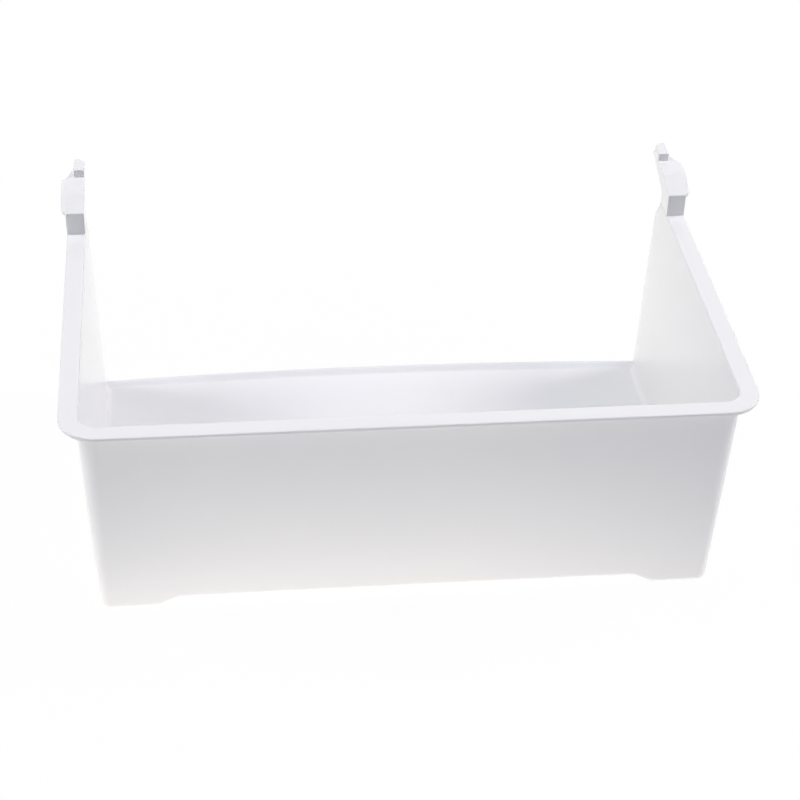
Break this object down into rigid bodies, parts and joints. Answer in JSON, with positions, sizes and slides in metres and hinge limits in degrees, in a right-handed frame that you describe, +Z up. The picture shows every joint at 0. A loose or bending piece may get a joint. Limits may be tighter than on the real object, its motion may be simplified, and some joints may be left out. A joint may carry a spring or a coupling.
{
  "type": "freezer drawer",
  "caption": "White moulded freezer drawer with drafted walls, a flat rim round the front and sides, an open back and a raised stop lug at each rear corner.",
  "frame": {"origin": "middle of the outer box, at the level that the feet rest on", "axes": "+X to the right seen from the front, +Y from the front wall to the open back, +Z up"},
  "size_m": [0.4566, 0.303, 0.1878],
  "materials": {
    "white_plastic": "satin moulded, opaque white"
  },
  "bodies": {
    "root": {"drawer": "white_plastic"}
  },
  "joints": []
}
